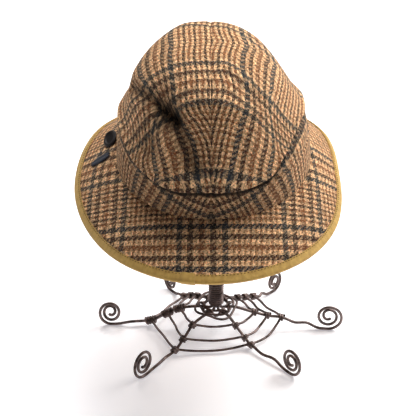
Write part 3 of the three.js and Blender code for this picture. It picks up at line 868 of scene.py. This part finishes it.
# one stitch along the edge: degrees ahead, height over the tape
STITCH = [(-0.20, -0.15), (-0.13, 0.22), (0.13, 0.22), (0.20, -0.15)]
# one stitch across the free end: inwards from the edge, height over the tape
END_STITCH = [(5.2, 0.3), (5.0, 0.75), (4.3, 0.75), (4.1, 0.3)]


def wire_object(name, lines, radius, material, sides=3, closed=False):
    """One or more round wires along points in the row frame, in metres."""
    curve = bpy.data.curves.new(name, "CURVE")
    curve.dimensions = "3D"
    curve.bevel_depth = radius
    curve.bevel_resolution = sides
    curve.use_fill_caps = True
    for line in lines:
        spline = curve.splines.new("POLY")
        spline.points.add(len(line) - 1)
        for point, place in zip(spline.points, line):
            point.co = (*place, 1)
        spline.use_cyclic_u = closed
        spline.use_smooth = True
    obj = bpy.data.objects.new(name, curve)
    scene.collection.objects.link(obj)
    curve.materials.append(material)
    return obj


def tape_spot(deg, inside, lift):
    """A point over the tape, inwards from the brim's edge."""
    edge, out, up = tape_frame(deg)
    return hat_to_row(edge - out * inside + up * (CLOTH_GAP + TAPE_WALL + lift))


def on_object(tree):
    return tree.nodes.new("ShaderNodeTexCoord").outputs["Object"]


tape_thread, tree, shader = new_material("tape_thread", 0.8)
twist = noise_node(tree, on_object(tree), 700, 3).outputs[0]
link(tree, mixed(tree, twist, (0.10, 0.050, 0.014, 1), (0.26, 0.14, 0.04, 1)), shader.inputs["Base Color"])
stitches = []
for k in range(STITCHES):
    deg = 2.2 + 360 * k / STITCHES
    stitches.append([tape_spot(deg + ahead, TAPE_COVER - 1.0, lift) for ahead, lift in STITCH])
# the free end is sewn down across the tape
for k in range(END_STITCHES):
    stitches.append([tape_spot(END_ANGLE, inside - 1.3 * k, lift) for inside, lift in END_STITCH])
seam_thread = wire_object("binding_stitches", stitches, THREAD_RADIUS, tape_thread, 1)
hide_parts("brim_binding")
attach(seam_thread, "root")

# Button and buttonhole
# A black button and a buttonhole worked in navy thread, both on the brim's left side in the
# picture. The button has a raised rim, and leans a little towards the front on its thread.
BUTTON_AT = (0.17, 168.5)  # share of the brim, angle
BUTTON_RADIUS = 9.6
BUTTON_OVAL = 0.8
BUTTON_LIFT = 1.9
BUTTON_LEAN = Vector((-0.12, -0.34, 0))
# share of the radius, height
BUTTON_SECTION = [
    (0, 2.2), (0.45, 2.25), (0.62, 2.5), (0.70, 2.95), (0.78, 3.15), (0.88, 3.05), (0.96, 2.5), (1.0, 1.8),
    (0.95, 1.1), (0.85, 0.7), (0.45, 0.1), (0, 0.1),
]
button_black, tree, shader = new_material("button_black", 0.5)
shader.inputs["Specular IOR Level"].default_value = 0.25
mottle = noise_node(tree, on_object(tree), 260, 4).outputs[0]
black = mixed(tree, mottle, (0.006, 0.005, 0.005, 1), (0.020, 0.014, 0.012, 1))
link(tree, black, shader.inputs["Base Color"])
bm = bmesh.new()
points = [bm.verts.new((share * BUTTON_RADIUS, 0, z)) for share, z in BUTTON_SECTION]
edges = [bm.edges.new(pair) for pair in zip(points, points[1:])]
bmesh.ops.spin(bm, geom=points + edges, cent=(0, 0, 0), axis=(0, 0, 1), angle=math.tau, steps=40,
               use_merge=True)
bmesh.ops.remove_doubles(bm, verts=bm.verts, dist=1e-4)
bmesh.ops.recalc_face_normals(bm, faces=bm.faces)
axis = (brim_normal(*BUTTON_AT) + BUTTON_LEAN).normalized()
turn = Vector((0, 0, 1)).rotation_difference(axis)
at = brim_point(*BUTTON_AT) + axis * BUTTON_LIFT
for v in bm.verts:
    v.co.x *= BUTTON_OVAL
    v.co = hat_to_row(at + turn @ v.co)
button = finished(bm, "button_disc", button_black)
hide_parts("side_button")
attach(button, "root")

# the hole's two ends as shares of the brim, its angle, and its half width
HOLE_FROM = 0.14
HOLE_TO = 0.60
HOLE_ANGLE = 180
HOLE_HALF = 3.3
HOLE_AWAY = 100  # from the hat's middle
HOLE_STITCHES = 60
HOLE_THREAD = 0.0005
# one stitch from the cloth over the lip into the slit: out from the slit, in from the ends, height
HOLE_STITCH = [(HOLE_HALF, 0, 0.6), (HOLE_HALF * 0.95, 0.005, 1.3), (HOLE_HALF * 0.6, 0.025, 1.8),
               (0.5, 0.045, 1.5), (0.2, 0.05, 0.9)]


def hole_point(turn, out_by, ends, lift):
    """A point of the buttonhole, by the turn round it."""
    along, across = math.asin(math.cos(turn)) / (math.pi / 2), math.sin(turn)
    share = (HOLE_FROM + HOLE_TO) / 2 + ((HOLE_TO - HOLE_FROM) / 2 - ends) * along
    deg = HOLE_ANGLE + math.degrees(out_by * power(across, 0.3) / HOLE_AWAY)
    return hat_to_row(brim_point(share, deg) + brim_normal(share, deg) * lift)


navy_thread, tree, shader = new_material("navy_thread", 0.7)
fleck = noise_node(tree, on_object(tree), 900).outputs[0]
navy = two_tones(tree, fleck, (0.010, 0.012, 0.020, 1), (0.055, 0.062, 0.085, 1))
link(tree, navy, shader.inputs["Base Color"])
stitches = []
for k in range(HOLE_STITCHES):
    stitches.append([hole_point(math.tau * k / HOLE_STITCHES, *spot) for spot in HOLE_STITCH])
hole = wire_object("buttonhole_thread", stitches, HOLE_THREAD, navy_thread, 2)
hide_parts("buttonhole")
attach(hole, "root")

# Legs
# Six legs of bronze-brown steel wire, bent by hand. Each starts in an upright scroll, stands on
# it, rises through the web, and turns up inside the coil on the post.
POST_AT = Vector((3.636, 4.01, 0))
LEG_WIRE = 1.5
WEB_WIRE = 1.25
FOOT_HIGH = 0.95
# name, angle, angle at the post, reach of the scroll's middle, reach and height of the crossings
# with the outer, middle and upper ring, scroll radius, its width over its height, its lean sideways
LEGS = [
    ("right", 357, 0, 114, ((66, 14), (52, 16), (39, 19.5)), 14.2, 0.98, 0.25),
    ("back_right", 43, 60, 84, ((53, 10), (41, 15.5), (30, 20.5)), 12.2, 0.80, 0.0),
    ("back_left", 129, 120, 76, ((52, 7), (41, 14.5), (30, 20.5)), 12.2, 0.80, 0.0),
    ("left", 179, 180, 107, ((66, 7), (49, 16.5), (37, 22.5)), 13.6, 0.86, -0.25),
    ("front_left", 228, 240, 105, ((61, 6), (49, 12.5), (35, 22)), 16.0, 0.80, 0.0),
    ("front_right", 314, 300, 104, ((50, 5.5), (41, 9.5), (28, 17.5)), 15.2, 0.80, 0.0),
]
SCROLL_TURNS = 2.1
SCROLL_STEPS = 90
SCROLL_CLOSES = 0.74  # how much of its radius a scroll loses on its way in
# hand-bent waves between the scroll and the web: share of the way, sideways, up
LEG_WAVES = [(0.30, 1.1, 1.5), (0.62, -1.0, -0.6)]
WAVES_NEED = 12
# the inner end: reach, share of the turn to the angle at the post, height
LEG_END = [(17, 0.35, 25.6), (9.5, 0.8, 25.0), (6.2, 1, 24.8), (4.0, 1, 26.2), (3.2, 1, 29.6),
           (3.12, 1, 33), (3.12, 1, 50)]
CROSSING_HALF = 3.3

bronze_wire, tree, shader = new_material("bronze_wire", 0.38, 0.85)
tarnish = noise_node(tree, on_object(tree), 160, 6).outputs[0]
bronze = two_tones(tree, tarnish, (0.045, 0.032, 0.028, 1), (0.270, 0.205, 0.192, 1), 0.3, 0.75)
link(tree, bronze, shader.inputs["Base Color"])
link(tree, range_node(tree, tarnish, 0, 1, 0.28, 0.55), shader.inputs["Roughness"])
bumped(tree, shader, tarnish, 0.25, 0.0002)


def polar(r, deg, z):
    return Vector((r * math.cos(math.radians(deg)), r * math.sin(math.radians(deg)), z))


def to_row(p):
    """From the post's frame in millimetres to the row frame in metres."""
    return (p + POST_AT) / 1000


def smooth_line(points, steps=6):
    """A smooth line through the points."""
    n = len(points)
    line = []
    for i in range(n - 1):
        p0, p1, p2, p3 = (points[max(0, i - 1)], points[i], points[i + 1], points[min(n - 1, i + 2)])
        d01, d12, d23 = [max(1e-6, (b - a).length) for a, b in ((p0, p1), (p1, p2), (p2, p3))]
        m1 = ((p1 - p0) / d01 + (p2 - p1) / d12) * 0.5 * d12
        m2 = ((p2 - p1) / d12 + (p3 - p2) / d23) * 0.5 * d12
        for k in range(steps):
            t = k / steps
            h = 2 * t**3 - 3 * t**2 + 1
            line.append(h * p1 + (t**3 - 2 * t**2 + t) * m1 + (1 - h) * p2 + (t**3 - t**2) * m2)
    line.append(points[-1])
    return line


def leg_crossings(leg):
    """Where the three rings cross a leg, each with the leg's direction there."""
    _, angle, _, foot, crossings = leg[:5]
    at = [polar(foot - 8, angle, LEG_WIRE + 0.6)]
    at += [polar(reach, angle, high) for reach, high in crossings]
    at.append(polar(19, angle, 25.6))
    return [(at[i], (at[i - 1] - at[i + 1]).normalized()) for i in (1, 2, 3)]


def leg_line(leg):
    """The whole of a leg, from the inner end of its scroll to its end inside the coil."""
    _, angle, post_angle, foot, crossings, scroll, wide, lean = leg
    side = Vector((-math.sin(math.radians(angle)), math.cos(math.radians(angle)), 0))
    points = []
    for i in range(SCROLL_STEPS, -1, -1):
        inwards = i / SCROLL_STEPS
        f = inwards ** 1.12
        a = SCROLL_TURNS * math.tau * f
        rho = scroll * (1 - SCROLL_CLOSES * f)
        high = scroll + FOOT_HIGH + 0.4 - rho * math.cos(a)
        points.append(polar(foot + wide * rho * math.sin(a), angle, high) + side * lean * high * inwards)
    start = polar(foot - 11, angle, LEG_WIRE + 0.9)
    rest = [points[-1], polar(foot - 4, angle, FOOT_HIGH + 0.45), start]
    outermost = leg_crossings(leg)[0][0]
    if foot - 11 - crossings[0][0] > WAVES_NEED:
        for share, aside, lift in LEG_WAVES:
            rest.append(start.lerp(outermost, share) + side * aside + Vector((0, 0, lift)))
    for at, along in leg_crossings(leg):
        rest += [at + along * CROSSING_HALF, at - along * CROSSING_HALF]
    turn = (post_angle - angle + 540) % 360 - 180
    for reach, share, z in LEG_END:
        rest.append(polar(reach, angle + turn * share, z))
    return points[:-1] + smooth_line(rest, 5)


for leg in LEGS:
    line = [to_row(p) for p in leg_line(leg)]
    wire = wire_object(f"leg_{leg[0]}_wire", [line], LEG_WIRE / 1000, bronze_wire, 3)
    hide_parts(f"leg_{leg[0]}")
    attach(wire, "root")

# Web
# Three rings of thinner wire, each wound round every leg it meets, with slack strands between the
# legs. The left leg's wraps are long and thick. Loose loops lie round the post's foot.
# name, how far its strands bow outwards, how far they sag
RINGS = [("web_ring_outer", 2.0, 2.5), ("web_ring_middle", 1.0, 2.0), ("web_ring_upper", 0.5, 1.5)]
# each strand's share of the bow and the sag, from the right leg's round by the back
STRAND_BOW = [0.3, 0.6, 0.3, 0.1, 1.0, 1.5]
STRAND_POINTS = 8
# turns, length, and how much wider than close
THICK_WRAP = (4.2, 10.5, 0.5)
WRAP = (2.2, 5.0, 0)
# radius, height, size of the waves, their number
LOOPS = [(20.5, 26.4, 1.3, 4), (17, 28.4, 1.2, 5), (14, 27.6, 1.8, 7), (11, 28.6, 1.2, 4)]
LOOP_POINTS = 120


def wrap_line(at, along, turns, length, radius, start):
    """Wire wound round a leg."""
    side = Vector((0, 0, 1)).cross(along).normalized()
    up = along.cross(side)
    line = []
    steps = int(turns * 12)
    for k in range(steps + 1):
        a = start + math.tau * turns * k / steps
        round_leg = (side * math.cos(a) + up * math.sin(a)) * radius
        line.append(at + along * length * (k / steps - 0.5) + round_leg)
    return line


def strand_line(a, b, i, level, bow_out, sag):
    """A slack strand between two crossings."""
    points = []
    for k in range(STRAND_POINTS + 1):
        f = k / STRAND_POINTS
        bow = 4 * f * (1 - f)
        p = a.lerp(b, f)
        bend = math.sin(math.tau * 1.5 * f + 2 * i + level) * 0.7 * bow
        p += Vector((p.x, p.y, 0)).normalized() * (bow_out * bow * STRAND_BOW[i] + bend)
        p.z = max(WEB_WIRE + 0.8, p.z - sag * bow * STRAND_BOW[i] + 1.6 * (1 - bow) + 0.6 * bend)
        points.append(p)
    return smooth_line(points, 3)


for level, (name, bow_out, sag) in enumerate(RINGS):
    lines = []
    crossings = [leg_crossings(leg)[level] for leg in LEGS]
    for i, leg in enumerate(LEGS):
        turns, length, wider = THICK_WRAP if leg[0] == "left" else WRAP
        lines.append(wrap_line(*crossings[i], turns, length, LEG_WIRE + WEB_WIRE * 0.92 + wider, 0.5 * i))
    for i in range(len(LEGS)):
        ahead = crossings[(i + 1) % len(LEGS)][0]
        lines.append(strand_line(crossings[i][0], ahead, i, level, bow_out, sag))
    lines = [[to_row(p) for p in line] for line in lines]
    ring = wire_object(f"{name}_wire", lines, WEB_WIRE / 1000, bronze_wire, 3)
    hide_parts(name)
    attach(ring, "root")

loops = []
for radius, high, wave, waves in LOOPS:
    loop = []
    for k in range(LOOP_POINTS):
        turn = math.tau * k / LOOP_POINTS
        z = high + wave * math.sin((waves - 1) * turn + radius)
        loop.append(to_row(polar(radius + wave * math.sin(waves * turn), 3 * k, z)))
    loops.append(loop)
inner = wire_object("web_ring_inner_wire", loops, WEB_WIRE / 1000, bronze_wire, 3, closed=True)
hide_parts("web_ring_inner")
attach(inner, "root")

# Post
# A wire coil wound close round the core that carries the crown. The core is steel rod with a
# round head, and is finished as the wire is.
COIL_FOOT = 28.8
COIL_SHOWN = 128.0
COIL_RADIUS = 6.6
COIL_WIRE = 1.12
COIL_PITCH = 2.55
TURN_POINTS = 20
line = []
turns = int((COIL_SHOWN - COIL_FOOT) / COIL_PITCH)
for k in range(turns * TURN_POINTS + 1):
    z = COIL_FOOT + 1.1 + COIL_PITCH * k / TURN_POINTS
    line.append(to_row(polar(COIL_RADIUS, 360 / TURN_POINTS * k, z)))
coil = wire_object("post_coil_wire", [line], COIL_WIRE / 1000, bronze_wire, 2)
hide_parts("post_coil")
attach(coil, "root")
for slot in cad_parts["post"].material_slots:
    slot.material = bronze_wire

low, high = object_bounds()
